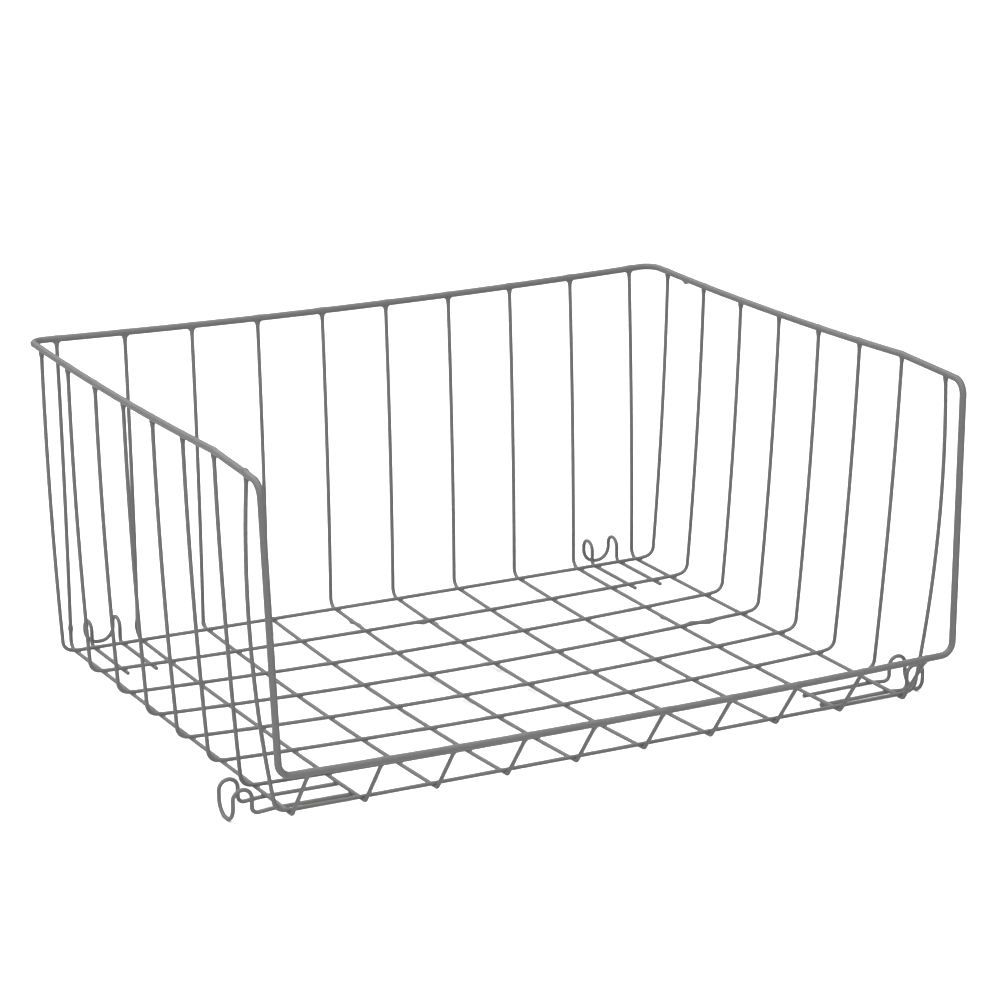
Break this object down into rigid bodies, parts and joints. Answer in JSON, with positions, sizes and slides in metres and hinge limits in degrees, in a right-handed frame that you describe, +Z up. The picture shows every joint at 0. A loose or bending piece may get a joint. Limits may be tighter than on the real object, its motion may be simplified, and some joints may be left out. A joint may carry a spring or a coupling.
{
  "type": "wire stacking basket",
  "caption": "Welded wire storage basket with an open, low-lipped front, sloping sides, a thick wire rim and stacking hooks that drop over the rim of a basket below.",
  "frame": {"origin": "centre of the basket's overall box in plan, level with the lowest facet of the front feet", "axes": "+Z up, -Y out of the open front, +X to the right of someone facing the open front"},
  "size_m": [0.4102, 0.3191, 0.1866],
  "materials": {
    "rim_coat": "satin powder coat",
    "grid_coat": "satin powder coat",
    "hook_coat": "satin powder coat"
  },
  "bodies": {
    "root": {"rim": "rim_coat", "cross_wire_1": "grid_coat", "cross_wire_2": "grid_coat", "cross_wire_3": "grid_coat", "cross_wire_4": "grid_coat", "cross_wire_5": "grid_coat", "cross_wire_6": "grid_coat", "cross_wire_7": "grid_coat", "cross_wire_8": "grid_coat", "long_wire_1": "grid_coat", "long_wire_2": "grid_coat", "long_wire_3": "grid_coat", "long_wire_4": "grid_coat", "long_wire_5": "grid_coat", "long_wire_6": "grid_coat", "long_wire_7": "grid_coat", "long_wire_8": "grid_coat", "long_wire_9": "grid_coat", "long_wire_10": "grid_coat", "hook_front_left": "hook_coat", "hook_front_right": "hook_coat", "hook_back_left": "hook_coat", "hook_back_right": "hook_coat"}
  },
  "joints": []
}
